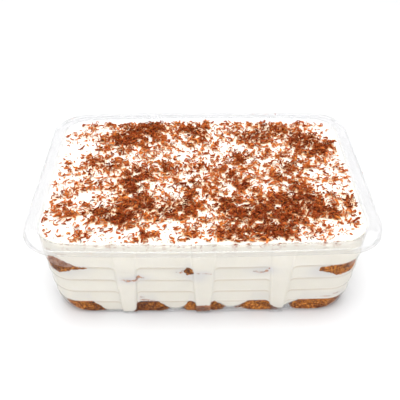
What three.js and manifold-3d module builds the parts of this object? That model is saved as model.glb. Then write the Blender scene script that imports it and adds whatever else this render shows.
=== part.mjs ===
// A tiramisu in its clear plastic box: two layers of sponge fingers in cream, under chocolate
// shavings. Millimetres, +Z up. The origin is under the middle of the box, on its base. The long
// sides run along X and the sponge fingers run from front (-Y) to back (+Y).
import * as THREE from "three";
import Module from "manifold-3d";

const wasm = await Module();
wasm.setup();

// ---- The box ----
const BOX_WIDTH = 172;
const BOX_DEPTH = 120; // at the corners; the bow of the long sides comes on top
const BOX_HEIGHT = 53.5;
const LIP_CORNER_RADIUS = 18.2;
const CORNER_TIGHTENING = 0.6; // how much smaller the corner radius gets for each mm inwards
const FOOT_CORNER_TOP = 10; // below this height the corners get rounder again,
const FOOT_CORNER_GROWTH = 0.5; // by this much for each mm
const LONG_SIDE_BOW = 2.4; // how far the middle of a long side stands out
const BASE_BOW = 0.8; // what is left of that at the base
const WALL_THICKNESS = 0.8;
const CORNER_STEPS = 5;

// The wall, as distances in from the lip and heights. Each band of the wall ends below in a small
// ledge, so that the box narrows in four steps.
const STEP_INSETS = [9.1, 8.4, 7.7, 7.0];
const STEP_HEIGHTS = [9.5, 18.0, 27.0, 36.4];
const LEDGE = 0.5;
const INNER_STEP_RISE = 0.3; // how far a step lies higher on the inside of the wall
const BASE_INSET = 10.3;
const FOOT_INSET = 9.7;
const FOOT_HEIGHT = 1.4;
const WALL_TOP_INSET = 6.5;

// The lip as [distance in from its edge, depth below the top], from under the flange round to
// the top of the flange
const LIP_DROP = 2.8;
const LIP_PROFILE = [
  [1.6, WALL_THICKNESS],
  [1.0, 2 * WALL_THICKNESS],
  [WALL_THICKNESS, LIP_DROP],
  [0, LIP_DROP],
  [0.3, 1.2],
  [0.65, 0.35],
  [1.4, 0],
];
const MOUTH_ROUND = 1.1; // between the flange and the inside of the wall

// The upright ribs: wider and flush with the wall at the top, narrower and proud at the foot
const LONG_SIDE_RIBS = [-37, 0, 37];
const SHORT_SIDE_RIBS = [-15, 15];
const RIB_TOP_WIDTH = 11.8;
const RIB_FOOT_WIDTH = 6.4;
const RIB_FLANK = 0.7;
const RIB_TOP_INSET = 6.5;
const RIB_STEP_INSET = 6.75; // at the highest step of the wall
const RIB_FOOT_INSET = 8.8;

// ---- The food ----
const GAP = 0.3; // clearance between one piece and the next
const FILLING_RISE = 0.4; // how far a step of the food lies above the wall's
const LEAST_BAND = 0.2;
const CREAM_BOTTOM = 2.2;
const CREAM_SPLIT = 34; // where the lower layer of cream ends, halfway up the upper sponges
const CREAM_TOP = 50.9;
const CREAM_EDGE = 50.4;
const CREAM_EDGE_SLOPE = 3;

// A sponge finger: its middle, size and how far its tips lie from the middle of the box
const LOWER_SPONGES = [
  { x: -59.4, width: 28, height: 16.5, reach: 53.4 },
  { x: -28.2, width: 27, height: 15.6, reach: 53.0 },
  { x: -0.3, width: 26, height: 15.0, reach: 53.4 },
  { x: 28.4, width: 27.5, height: 16.2, reach: 53.1 },
  { x: 58.6, width: 28.5, height: 16.8, reach: 53.6 },
];
const UPPER_SPONGES = [
  { x: -62.4, base: 28.6, width: 29.4, height: 16.2, reach: 53.6 },
  { x: -33.4, base: 21.6, width: 27, height: 15.4, reach: 53.8 },
  { x: -4.2, base: 25.0, width: 28, height: 15.8, reach: 54.0 },
  { x: 28.0, base: 26.2, width: 27.5, height: 15.6, reach: 53.9 },
  { x: 61.6, base: 27.0, width: 30, height: 16.4, reach: 54.0 },
];
const SPONGE_END_LENGTH = 14; // of the rounded end
const SPONGE_END_FULLNESS = 0.8; // under 1, the end narrows later than a round one
const SPONGE_EDGE_HEIGHT = 2;
const SPONGE_EDGE_ROUND = 1.2;
const DOME_STEPS = 6;
const LOWER_END_STATIONS = [0.08, 0.32, 0.62, 1]; // shares of the end length, from the tip
const UPPER_END_STATIONS = [0.015, 0.14, 0.42, 1];
const UPPER_TIP_LIFT = 0.55; // of the height, from the base up to the underside of the tip

// ---- The shavings ----
const SHAVINGS = 98;
const MOST_TRIES = 20000;
const SHAVING_SPACING = 6.4;
const SHAVING_SEED = 20417;
const SHAVING_SINK = 0.45;
const SHAVING_EDGE_MARGIN = 4;
const SHAVING_CORNER = 12.7; // how far along each side the corners are kept clear
// The smallest and largest of each measure
const SHAVING_RADIUS = [1.7, 3.1];
const SHAVING_SWEEP = [60, 170]; // degrees
const SHAVING_HALF_WIDTH = [0.6, 0.95];
const SHAVING_HEIGHT = [0.8, 1.3];
const SHAVING_LIFT = [0, 0.5]; // of one end above the other
const LONG_SWEEP = 115; // degrees, past which a shaving takes one segment more
const SHAVING_TIP = 0.45; // thickness left at the tips, as a share of the middle's
const SHAVING_LEAN = 0.2; // of the ridge, in half widths
// Where the shavings lie thick, as [x, y, spread, weight], and where the cream shows bare
const DRIFTS = [
  [-38, 38, 12, 1.0], [-8, 46, 9, 0.7], [34, 40, 11, 0.8], [62, 27, 12, 1.1],
  [20, 14, 7, 0.9], [48, 8, 6, 0.9], [-54, 11, 7, 0.7], [-35, -4, 8, 0.9],
  [-33, -27, 9, 1.0], [-10, -25, 7, 0.9], [-17, 6, 6, 0.6], [14, -4, 7, 0.7],
  [43, -24, 12, 1.1], [22, -34, 7, 0.9], [39, -38, 8, 1.0], [27, -46, 6, 0.9],
];
const BARE_PATCHES = [
  [-15, 22, 8, 1.0], [13, 27, 8, 1.0], [-14, -9, 5, 0.9], [0, -38, 5, 0.9],
  [64, -9, 7, 0.9], [58, -48, 8, 1.0], [-74, 22, 8, 1.0], [-71, -47, 8, 0.8],
];
const THIN_COVER = 0.35; // the chance of a shaving away from the drifts
const LEAST_COVER = 0.03;

// ---- Small helpers ----
const lerp = (a, b, t) => a + (b - a) * t;
const between = ([least, most], random) => lerp(least, most, random());
const distance = (a, b) => Math.hypot(a[0] - b[0], a[1] - b[1]);

// A repeatable stream of numbers from 0 to 1
function randomStream(seed) {
  let state = seed;
  return () => {
    state = (Math.imul(state, 1664525) + 1013904223) >>> 0;
    return state / 2 ** 32;
  };
}

// Triangles across a flat ring, turning the way that the ring does
function acrossRing(ring) {
  const normal = new THREE.Vector3();
  ring.forEach((p, i) => normal.add(p.clone().cross(ring[(i + 1) % ring.length])));
  const upright = new THREE.Quaternion().setFromUnitVectors(
    normal.normalize(),
    new THREE.Vector3(0, 0, 1),
  );
  const flat = ring.map((p) => p.clone().applyQuaternion(upright));
  return THREE.ShapeUtils.triangulateShape(
    flat.map(({ x, y }) => new THREE.Vector2(x, y)),
    [],
  );
}

// A closed solid through flat rings of as many points each. Each ring turns right-handed about
// the way from the first ring to the last.
function skin(rings) {
  const count = rings[0].length;
  const triangles = [];
  for (let ring = 0; ring + 1 < rings.length; ring++) {
    for (let i = 0; i < count; i++) {
      const a = ring * count + i;
      const b = ring * count + ((i + 1) % count);
      triangles.push(a, b, b + count, a, b + count, a + count);
    }
  }
  const last = (rings.length - 1) * count;
  acrossRing(rings[0]).forEach(([a, b, c]) => triangles.push(c, b, a));
  acrossRing(rings.at(-1)).forEach(([a, b, c]) => triangles.push(last + a, last + b, last + c));
  return new wasm.Manifold(
    new wasm.Mesh({
      numProp: 3,
      vertProperties: new Float32Array(rings.flat().flatMap((p) => p.toArray())),
      triVerts: new Uint32Array(triangles),
    }),
  );
}

function geometryOf(solid) {
  const { vertProperties, triVerts } = solid.getMesh();
  const geometry = new THREE.BufferGeometry();
  geometry.setAttribute("position", new THREE.BufferAttribute(vertProperties, 3));
  geometry.setIndex(new THREE.BufferAttribute(triVerts, 1));
  geometry.computeVertexNormals();
  return geometry;
}

// ---- The outline of the box at any height ----

// The wall as [inset, height], from the foot to the flange
const WALL_PROFILE = [
  [BASE_INSET, 0],
  [FOOT_INSET, FOOT_HEIGHT],
  ...STEP_HEIGHTS.flatMap((height, i) => [
    [STEP_INSETS[i] + LEDGE, height - LEDGE],
    [STEP_INSETS[i], height],
  ]),
  [WALL_TOP_INSET, BOX_HEIGHT - WALL_THICKNESS],
];

function wallInset(height) {
  for (let i = 1; i < WALL_PROFILE.length; i++) {
    const [lowInset, low] = WALL_PROFILE[i - 1];
    const [highInset, high] = WALL_PROFILE[i];
    if (height <= high) {
      return lerp(lowInset, highInset, THREE.MathUtils.clamp((height - low) / (high - low), 0, 1));
    }
  }
  return WALL_TOP_INSET;
}

function ribInset(height) {
  const topStep = STEP_HEIGHTS.at(-1);
  return height < topStep
    ? lerp(RIB_FOOT_INSET, RIB_STEP_INSET, height / topStep)
    : lerp(RIB_STEP_INSET, RIB_TOP_INSET, (height - topStep) / (BOX_HEIGHT - topStep));
}

// Points along one side as [along, out], four at each rib
function sidePoints(ribs, height, offset, stand) {
  const half = (lerp(RIB_FOOT_WIDTH, RIB_TOP_WIDTH, height / BOX_HEIGHT) - offset) / 2;
  return ribs.flatMap((rib) => [
    [rib - half - RIB_FLANK, 0],
    [rib - half, stand],
    [rib + half, stand],
    [rib + half + RIB_FLANK, 0],
  ]);
}

// One outline round the box, anticlockwise from above. inset is how far the outer face of the
// wall lies in from the lip, and offset how far the outline lies inside that face.
function outline(inset, offset, height, ribbed = true) {
  const halfWidth = BOX_WIDTH / 2 - inset - offset;
  const halfDepth = BOX_DEPTH / 2 - inset - offset;
  const tightening = CORNER_TIGHTENING * Math.min(inset, STEP_INSETS.at(-1));
  const growth = FOOT_CORNER_GROWTH * Math.max(0, FOOT_CORNER_TOP - height);
  const radius = LIP_CORNER_RADIUS - tightening + growth - offset;
  const bow = lerp(BASE_BOW, LONG_SIDE_BOW, Math.min(1, height / (BOX_HEIGHT - LIP_DROP)));
  const stand = ribbed ? Math.max(0, inset - ribInset(height)) : 0;
  const half = [];
  for (const [along, out] of sidePoints(LONG_SIDE_RIBS, height, offset, stand)) {
    half.push([along, -halfDepth - out]);
  }
  for (let i = 0; i <= CORNER_STEPS; i++) {
    const angle = (i / CORNER_STEPS - 1) * (Math.PI / 2);
    half.push([
      halfWidth - radius + radius * Math.cos(angle),
      radius - halfDepth + radius * Math.sin(angle),
    ]);
  }
  for (const [along, out] of sidePoints(SHORT_SIDE_RIBS, height, offset, stand)) {
    half.push([halfWidth + out, along]);
  }
  for (let i = 0; i <= CORNER_STEPS; i++) {
    const angle = (i / CORNER_STEPS) * (Math.PI / 2);
    half.push([
      halfWidth - radius + radius * Math.cos(angle),
      halfDepth - radius + radius * Math.sin(angle),
    ]);
  }
  const whole = [...half, ...half.map(([x, y]) => [-x, -y])];
  return whole.map(([x, y]) => {
    const bowHere = bow * (y / halfDepth) * (1 - (x / halfWidth) ** 2);
    return new THREE.Vector3(x, y + bowHere, height);
  });
}

// ---- The box ----
function boxShell() {
  const outside = WALL_PROFILE.map(([inset, height]) => outline(inset, 0, height));
  const lip = LIP_PROFILE.map(([inset, depth]) => outline(inset, 0, BOX_HEIGHT - depth));
  const bevel = MOUTH_ROUND * (1 - Math.SQRT1_2);
  const mouth = [
    [WALL_THICKNESS - MOUTH_ROUND, 0],
    [WALL_THICKNESS - bevel, bevel],
    [WALL_THICKNESS, MOUTH_ROUND],
  ].map(([offset, depth]) => outline(WALL_TOP_INSET, offset, BOX_HEIGHT - depth));
  const inside = WALL_PROFILE.slice(1, -1)
    .map(([inset, height]) => outline(inset, WALL_THICKNESS, height + INNER_STEP_RISE))
    .reverse();
  const floor = outline(BASE_INSET, WALL_THICKNESS, WALL_THICKNESS);
  return skin([...outside, ...lip, ...mouth, ...inside, floor]);
}

// ---- The space that the food fills, between two heights ----
function filling(low, high, ribbed) {
  const steps = WALL_PROFILE.map(([, height]) => height + FILLING_RISE);
  const inRange = (height) => height > low + LEAST_BAND && height < high - LEAST_BAND;
  return [low, ...steps.filter(inRange), high].map((height) =>
    outline(wallInset(height - FILLING_RISE), WALL_THICKNESS + GAP, height, ribbed),
  );
}

// ---- The sponge fingers ----

// One finger, made larger all round by grow: a flat base, a domed back and rounded ends, whose
// tips lie higher than the base by tipLift
function sponge({ x, base, width, height, reach }, stations, tipLift, grow) {
  const section = (y, share) => {
    const half = (width / 2) * share ** SPONGE_END_FULLNESS + grow;
    const lift = tipLift * (1 - share);
    const low = base + lift - grow;
    const edge = low + SPONGE_EDGE_HEIGHT * share;
    const crown = base + height * share + lift / 2 + grow;
    const ring = [];
    for (let i = 0; i <= DOME_STEPS; i++) {
      const angle = (i / DOME_STEPS - 0.5) * Math.PI;
      const along = x + half * Math.sin(angle);
      ring.push(new THREE.Vector3(along, y, lerp(edge, crown, Math.cos(angle))));
    }
    const foot = Math.max(half - SPONGE_EDGE_ROUND, half / 2);
    ring.push(new THREE.Vector3(x + foot, y, low), new THREE.Vector3(x - foot, y, low));
    return ring;
  };
  const tip = reach + grow;
  const ends = stations.map((t) => ({
    y: tip - SPONGE_END_LENGTH * t,
    share: Math.sqrt(1 - (1 - t) ** 2),
  }));
  const front = ends.map(({ y, share }) => section(-y, share));
  const back = ends.map(({ y, share }) => section(y, share)).reverse();
  return skin([...front, ...back]);
}

function lowerSponge(size, grow) {
  const placed = { ...size, base: WALL_THICKNESS + GAP };
  return sponge(placed, LOWER_END_STATIONS, 0, grow);
}

function upperSponge(size, grow) {
  return sponge(size, UPPER_END_STATIONS, size.height * UPPER_TIP_LIFT, grow);
}

// ---- The shavings ----

// How likely a shaving is at a place, from the drifts and the bare patches
function cover(x, y) {
  const spread = (patches) =>
    patches.reduce((sum, [px, py, size, weight]) => {
      const away = distance([x, y], [px, py]) / size;
      return sum + weight * Math.exp(-away * away);
    }, 0);
  const chance = THIN_COVER + spread(DRIFTS) - spread(BARE_PATCHES);
  return THREE.MathUtils.clamp(chance, LEAST_COVER, 1);
}

// Places for the shavings, thick in the drifts, each clear of the others
function shavingPlaces(random) {
  const halfWidth = BOX_WIDTH / 2 - WALL_TOP_INSET - SHAVING_EDGE_MARGIN;
  const halfDepth = BOX_DEPTH / 2 - WALL_TOP_INSET - SHAVING_EDGE_MARGIN;
  const places = [];
  for (let tries = 0; tries < MOST_TRIES && places.length < SHAVINGS; tries++) {
    const place = [(random() * 2 - 1) * halfWidth, (random() * 2 - 1) * halfDepth];
    const intoCorner = [
      Math.max(0, Math.abs(place[0]) - halfWidth + SHAVING_CORNER),
      Math.max(0, Math.abs(place[1]) - halfDepth + SHAVING_CORNER),
    ];
    const inside = Math.hypot(...intoCorner) < SHAVING_CORNER;
    const clear = places.every((other) => distance(place, other) > SHAVING_SPACING);
    if (inside && clear && random() < cover(...place)) {
      places.push(place);
    }
  }
  return places;
}

// One curl of chocolate: a ridge bent round an arc, thin at its ends, with one end lifted
function shaving([x, y], random) {
  const radius = between(SHAVING_RADIUS, random);
  const degrees = between(SHAVING_SWEEP, random);
  const sweep = THREE.MathUtils.degToRad(degrees);
  const turn = random() * 2 * Math.PI;
  const half = between(SHAVING_HALF_WIDTH, random);
  const tall = between(SHAVING_HEIGHT, random);
  const lift = between(SHAVING_LIFT, random);
  const segments = degrees > LONG_SWEEP ? 3 : 2;
  const middle = new THREE.Vector2(Math.cos(turn + sweep / 2), Math.sin(turn + sweep / 2));
  const rings = [];
  for (let i = 0; i <= segments; i++) {
    const t = i / segments;
    const angle = turn + sweep * t;
    const taper = 1 - (1 - SHAVING_TIP) * (2 * t - 1) ** 2;
    const at = (r, z) => {
      const px = x + r * Math.cos(angle) - radius * middle.x;
      const py = y + r * Math.sin(angle) - radius * middle.y;
      return new THREE.Vector3(px, py, CREAM_TOP + z);
    };
    const low = lift * t - SHAVING_SINK;
    rings.push([
      at(radius + half * SHAVING_LEAN, lift * t + tall * taper),
      at(radius + half * taper, low),
      at(radius - half * taper, low),
    ]);
  }
  return skin(rings);
}

// ---- The part ----
const materials = {
  plastic: new THREE.MeshStandardMaterial({
    color: 0xeef0f3,
    roughness: 0.06,
    transparent: true,
    opacity: 0.3,
  }),
  cream: new THREE.MeshStandardMaterial({ color: 0xfaf7ee, roughness: 0.55 }),
  sponge: new THREE.MeshStandardMaterial({ color: 0x9a6234, roughness: 0.85 }),
};

const tiramisu = new THREE.Group();

function add(name, solid, material) {
  const mesh = new THREE.Mesh(geometryOf(solid), material);
  mesh.name = name;
  tiramisu.add(mesh);
}

add("container", boxShell(), materials.plastic);

const spongeSpace = skin(filling(WALL_THICKNESS + GAP / 2, CREAM_EDGE, false));
let lowerCream = skin(filling(CREAM_BOTTOM, CREAM_SPLIT - GAP / 2, true));
const creamTop = outline(wallInset(CREAM_TOP) + CREAM_EDGE_SLOPE, WALL_THICKNESS + GAP, CREAM_TOP);
let upperCream = skin([...filling(CREAM_SPLIT + GAP / 2, CREAM_EDGE, true), creamTop]);

LOWER_SPONGES.forEach((size, i) => {
  lowerCream = lowerCream.subtract(lowerSponge(size, GAP));
  const solid = lowerSponge(size, 0).intersect(spongeSpace);
  add(`ladyfinger_lower_${i + 1}`, solid, materials.sponge);
});
UPPER_SPONGES.forEach((size, i) => {
  const room = upperSponge(size, GAP);
  lowerCream = lowerCream.subtract(room);
  upperCream = upperCream.subtract(room);
  const solid = upperSponge(size, 0).intersect(spongeSpace);
  add(`ladyfinger_upper_${i + 1}`, solid, materials.sponge);
});

const random = randomStream(SHAVING_SEED);
for (const place of shavingPlaces(random)) {
  upperCream = upperCream.add(shaving(place, random));
}
add("cream_lower", lowerCream, materials.cream);
add("cream_upper", upperCream, materials.cream);

export default tiramisu;
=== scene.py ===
"""A tiramisu in its clear plastic box, on a pale floor in soft light.

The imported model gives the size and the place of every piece. The box, the cream and the sponge
fingers are built again here as finer surfaces of the same form, and the shavings as loose strips
of chocolate. Sizes are in millimetres until a mesh is made. +X runs along the long sides, +Y to
the back.
"""

import math

import bpy
import numpy as np
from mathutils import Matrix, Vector, noise


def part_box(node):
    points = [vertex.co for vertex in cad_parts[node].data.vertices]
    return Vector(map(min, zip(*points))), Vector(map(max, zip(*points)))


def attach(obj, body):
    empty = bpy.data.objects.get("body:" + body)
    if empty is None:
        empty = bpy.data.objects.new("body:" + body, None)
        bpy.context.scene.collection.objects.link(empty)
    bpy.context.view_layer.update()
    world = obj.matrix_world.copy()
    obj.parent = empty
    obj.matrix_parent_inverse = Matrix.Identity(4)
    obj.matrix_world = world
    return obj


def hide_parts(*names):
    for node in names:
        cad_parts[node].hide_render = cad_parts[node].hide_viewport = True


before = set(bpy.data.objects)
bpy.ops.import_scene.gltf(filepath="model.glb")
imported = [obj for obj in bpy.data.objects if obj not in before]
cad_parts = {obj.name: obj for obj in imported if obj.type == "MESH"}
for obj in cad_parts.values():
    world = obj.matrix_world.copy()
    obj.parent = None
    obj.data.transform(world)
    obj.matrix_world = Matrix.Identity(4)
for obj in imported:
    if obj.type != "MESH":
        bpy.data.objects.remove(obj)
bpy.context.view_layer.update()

MM = 0.001
BODY = "root"


def corners_of(node):
    """The lowest and highest corner of a node, in millimetres."""
    return [np.array(corner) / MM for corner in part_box(node)]


# ---- The box ----
box_low, box_high = corners_of("container")
LONG_SIDE_BOW = 2.4  # how far the middle of a long side stands out at the lip
BASE_BOW = 0.8  # what is left of that at the base
BOX_WIDTH = box_high[0] - box_low[0]
BOX_DEPTH = box_high[1] - box_low[1] - 2 * LONG_SIDE_BOW
BOX_HEIGHT = box_high[2]
WALL = 0.8
LIP_CORNER_RADIUS = 18.2
CORNER_TIGHTENING = 0.6  # how much smaller the corner radius gets for each mm inwards
TIGHTENING_ENDS = 7.0
FOOT_CORNER_TOP = 10.0  # below this height the corners get rounder again,
FOOT_CORNER_GROWTH = 0.5  # by this much for each mm

# The wall, as distances in from the lip and heights, with a small ledge under each band
STEP_INSETS = [9.1, 8.4, 7.7, 7.0]
STEP_HEIGHTS = [9.5, 18.0, 27.0, 36.4]
LEDGE = 0.5
INNER_STEP_RISE = 0.3
BASE_INSET = 10.3
FOOT_INSET = 9.7
FOOT_HEIGHT = 1.4
WALL_TOP_INSET = 6.5
LIP_DROP = 2.8
MOUTH_ROUND = 1.1
LEDGE_ROUND = 0.22
LIP_ROUND = 0.5

# The upright ribs, and the rounded corners that the panels between them have
LONG_SIDE_RIBS = [-37.8, 0, 37.8]
SHORT_SIDE_RIBS = [-15, 15]
RIB_TOP_WIDTH = 11.8
RIB_FOOT_WIDTH = 6.4
RIB_FLANK = 0.7
RIB_TOP_INSET = 6.5
RIB_STEP_INSET = 6.75
RIB_FOOT_INSET = 8.8
RIB_TOE = 0.6  # how far the foot of a rib is rounded off
PANEL_CORNER = 2.4
PANEL_DROP = 1.3  # how far the bands of the wall turn down at a panel's corner. That comes in
DROP_GROWTH = 3.0  # over this height above the foot
DROP_FADE = 6.0  # and fades over this height,
DROP_END = 44.0  # up to here
CORNER_REACH = 0.985  # the share of a corner's radius over which a long side's face is followed

# Steps of the mesh round the outline
END_STEPS, NEAR_STEPS, FLANK_STEPS, RIB_STEPS, BETWEEN_STEPS, CORNER_STEPS = 18, 4, 4, 9, 20, 16

# ---- The food ----
CREAM_PRESS = 0.62  # how far the cream lies inside the outer face of the wall
SPONGE_PRESS = 0.3  # how far a finger does where it touches the wall
CREAM_FOOT = 1.9
FOOT_BAND = 8.4  # below this the rows of the cream's side follow its lower edge
CREAM_SPLIT = corners_of("cream_upper")[0][2]
CREAM_TOP = 50.9
CREAM_EDGE = 50.4
CREAM_EDGE_SLOPE = 3.0  # how far in from the wall the top has the height of the middle
FRONT_RISE = 1.2  # how much higher the cream stands along the front wall,
FRONT_RISE_START = 44.0  # from this far in front of the middle,
FRONT_RISE_REACH = 7.0  # full after this much more

# The lower edge of the cream along a long side, as [along, height]: round lobes between the
# fingers, a rib that is filled down to its foot and two that aren't
FOOT_LINE = [
    [-80, 3.2], [-54, 2.6], [-51.2, 1.4], [-48.4, 0.6], [-36.4, 0.5], [-35, 2.4], [-33.8, 4.4],
    [-22.4, 6], [-20.4, 5.2], [-18.8, 3.5], [-17.2, 2.3], [-14.6, 1.7], [-12.2, 2.1], [-10, 3.4],
    [-8.4, 5], [-4, 6.4], [3.6, 6.4], [8.4, 5.8], [10.4, 4.2], [12, 3.2], [13.8, 2.7],
    [16.6, 3.1], [19.4, 4.4], [22, 6.4], [33.4, 6.4], [35.2, 5.2], [37, 4.2], [39.2, 3.7],
    [41.4, 3.9], [44.2, 5], [46.2, 6.6], [80, 6.6],
]

# Where the fingers show at a long side, as [along, lowest, highest]. A highest over the ledge
# that caps the patch gives it a flat top.
PATCHES = {
    "lower_1": [
        [-69.8, 6, 7], [-67.8, 3.6, 9], [-66, 2.4, 14], [-62, 0.7, 14], [-57.2, 0.5, 14],
        [-56.4, 0.6, 9.4], [-53.8, 1.2, 6.4], [-51.8, 1.6, 3.8], [-50.8, 2.2, 2.8],
    ],
    "lower_2": [
        [-34.8, 1.4, 3.6], [-34, 1, 7], [-33.5, 0.8, 14], [-24.4, 0.8, 14], [-23.2, 0.8, 9.4],
        [-21.4, 1, 7.2], [-19.8, 2, 5], [-18.6, 2.8, 3.8],
    ],
    "lower_3": [
        [-9.2, 3.4, 4.4], [-8.4, 2, 7], [-7.4, 1.4, 9.4], [-6.6, 1, 14], [-4.5, 0.8, 14],
        [-4.1, 1.6, 6.9], [3.9, 1.6, 6.7], [4.3, 0.8, 14], [6, 0.9, 9.4], [7.6, 1.4, 6.8],
        [8.8, 2.2, 4.6], [9.6, 3, 3.6],
    ],
    "lower_4": [
        [20, 4.7, 5.3], [21.8, 3.4, 7.4], [23.4, 2.2, 9.4], [24.6, 1.6, 14], [28, 0.9, 14],
        [33.4, 0.9, 14], [33.8, 3, 7.2], [35.4, 3.4, 5.9], [37.2, 3.5, 4.4], [38, 3.5, 3.8],
    ],
    "lower_5": [
        [45.6, 4, 5], [47.2, 2.8, 7.2], [48.6, 1.9, 9.4], [50, 1.2, 14], [53, 0.8, 14],
        [62, 0.8, 14], [66.5, 2.4, 14], [69.5, 3.4, 14], [73.6, 5.4, 10],
    ],
    "upper_1": [
        [-79, 33, 43], [-74.6, 31.6, 43], [-71.6, 30.7, 42], [-69, 31.2, 41],
        [-65, 33, 39], [-62, 34, 36.9], [-59, 34.4, 35.6], [-55.5, 34.6, 35],
    ],
    "upper_3": [
        [-9.4, 32, 33.4], [-8.4, 31, 35.4], [-7.6, 30.4, 39], [-5.9, 30.2, 39], [-5.3, 31, 34],
    ],
    "upper_5": [
        [55.4, 32.2, 32.8], [57.4, 31.4, 33.8], [59.6, 30.6, 34.7], [62.6, 29.3, 35.3],
        [65.2, 28.6, 35.5], [69, 28.3, 35.6], [72, 28.4, 35.3], [75, 29.6, 34], [77.4, 31, 32.4],
    ],
}
LAST_LEDGE_CAPS = ["upper_3"]

# Smears of soaked crumb in the cream, as [along, height, half length, half height, strength]
SMEARS = [
    [-39.2, 27.3, 1.5, 0.6, 0.7], [-37.1, 26.4, 1.2, 0.9, 1.1], [-35.4, 27, 1.6, 0.5, 0.7],
    [-33.6, 26.8, 1, 0.7, 1], [-32.5, 28.2, 0.8, 1.1, 1.1], [-31.5, 29.5, 0.9, 0.8, 1.1],
    [-30, 28.5, 1.3, 0.5, 1], [-13.6, 32.4, 0.6, 0.4, 0.8], [-11.2, 32.2, 0.8, 0.7, 0.9],
    [-10.2, 33.4, 0.8, 0.7, 0.8], [-2.6, 32.2, 1.5, 0.5, 0.7], [1, 32.1, 1.3, 0.4, 1],
    [3.3, 31.8, 1.1, 0.3, 0.8], [25.4, 32.6, 1.6, 0.7, 0.75], [28.2, 31.8, 1.5, 0.7, 0.85],
    [30.6, 32.6, 1.1, 0.8, 1.1], [31.8, 34.6, 0.6, 0.8, 1.2], [-31.2, 12.6, 1.4, 1.4, 0.7],
    [-29.6, 10.4, 2.6, 0.7, 0.8], [-25.6, 10, 2, 0.5, 0.6], [53, 10.5, 5, 0.35, 0.6],
    [62, 11.3, 5, 0.4, 0.75], [68, 12.6, 3, 0.4, 0.8],
]
SMEAR_AND_SHADE_STRENGTH = 0.6
HALO = 1.6  # how far the greyer zone round a smear reaches,
HALO_STRENGTH = 0.28  # and how grey it is
PATCH_HAZE = 0.3  # how grey the cream is next to a finger's patch,
PATCH_HAZE_REACH = 2.0  # and within how many millimetres that fades
MOST_HAZE = 0.8
# Painted shade on the cream's underside, in the brown of the smears
UNDERSIDE_SHADE = 0.7
UNDERSIDE_FROM = 0.5  # how far in from its side the cream's underside gets painted shade,
DUST_AND_SHADE_FROM = 0.8  # and its top gets dust and painted shade
# Soft greyer zones where the coffee soaks through, in the same form
HAZES = [
    [-34, 27.5, 9, 3.2, 0.5], [-66, 32.5, 10, 5, 0.6], [-2, 29.5, 4.5, 4.2, 0.7],
    [-7.5, 30, 4, 4, 0.6], [28.5, 33.6, 8, 3.6, 0.5], [56, 32, 6, 4, 0.45], [62, 29, 12, 4, 0.5],
]


# ---- Small helpers ----
def smooth(t):
    t = np.clip(t, 0, 1)
    return t * t * (3 - 2 * t)


def bell(t):
    return np.exp(-(t ** 2))


def wobble(points, size, seed=0.0):
    """Noise from -1 to 1 at each point, in lumps of about this size."""
    shift = Vector((seed, -seed, seed * 0.37))
    return np.array([noise.noise(Vector(p) / size + shift) for p in points])


def add_object(name, data):
    thing = bpy.data.objects.new(name, data)
    bpy.context.scene.collection.objects.link(thing)
    return thing


def make_piece(name, points, faces, material, replaced=(), sharp=40, values=None):
    """A shaded mesh from points in millimetres, riding on the body. values holds a number for
    each point under the names that the material reads."""
    mesh = bpy.data.meshes.new(name)
    mesh.from_pydata((np.asarray(points) * MM).tolist(), [], faces)
    mesh.polygons.foreach_set("use_smooth", [True] * len(mesh.polygons))
    mesh.set_sharp_from_angle(angle=math.radians(sharp))
    mesh.materials.append(material)
    for key, numbers in (values or {}).items():
        attribute = mesh.attributes.new(key, "FLOAT", "POINT")
        attribute.data.foreach_set("value", np.asarray(numbers, np.float32))
    piece = add_object(name, mesh)
    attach(piece, BODY)
    if replaced:
        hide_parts(*replaced)


def loft(rings):
    """Points and faces of a closed skin through rings of as many points each."""
    count = len(rings[0])
    last = (len(rings) - 1) * count
    faces = [tuple(range(count - 1, -1, -1))]
    for start in range(0, last, count):
        for i in range(count):
            a, b = start + i, start + (i + 1) % count
            faces.append((a, b, b + count, a + count))
    faces.append(tuple(range(last, last + count)))
    return np.concatenate(rings), faces


def rounded(profile, radius, steps=3, hold=0.25):
    """The profile with each inner corner turned into a small arc, held by a point on each side
    that stays short of the middle of its stretch."""
    profile = np.array(profile, float)
    rows = [profile[0]]
    for before, corner, after in zip(profile, profile[1:], profile[2:]):
        spans = [np.linalg.norm(end - corner) for end in (before, after)]
        cut = min(radius, min(spans) * 0.4)
        wide = min(cut + hold, min(spans) * 0.48)
        back, on = [(end - corner) / span for end, span in zip((before, after), spans)]
        rows.append(corner + back * wide)
        for t in np.linspace(0, 1, steps + 1):
            rows.append(corner + back * cut * (1 - t) ** 2 + on * cut * t ** 2)
        rows.append(corner + on * wide)
    rows.append(profile[-1])
    return rows


# ---- The outline of the box at any height ----
def side_stations(ribs, end, rib_half):
    """Places along one side from -end to end, close together at the ribs."""
    stops, steps = [-end], []
    for number, rib in enumerate(ribs):
        near = rib_half + RIB_FLANK
        stops += [rib - near - PANEL_CORNER, rib - near, rib - rib_half]
        stops += [rib + rib_half, rib + near, rib + near + PANEL_CORNER]
        steps += [BETWEEN_STEPS if number else END_STEPS]
        steps += [NEAR_STEPS, FLANK_STEPS, RIB_STEPS, FLANK_STEPS, NEAR_STEPS]
    stops.append(end)
    steps.append(END_STEPS)
    spans = zip(stops, stops[1:], steps)
    return np.concatenate([np.linspace(a, b, n, endpoint=False) for a, b, n in spans])


def rib_inset(height):
    """How far in from the lip the flat of a rib lies, further at its rounded foot."""
    stops = [0, STEP_HEIGHTS[-1], BOX_HEIGHT]
    toe = RIB_TOE * (1 - smooth(height / FOOT_HEIGHT))
    return toe + np.interp(height, stops, [RIB_FOOT_INSET, RIB_STEP_INSET, RIB_TOP_INSET])


def rib_half_width(height):
    return np.interp(height, [0, BOX_HEIGHT], [RIB_FOOT_WIDTH, RIB_TOP_WIDTH]) / 2


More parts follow.
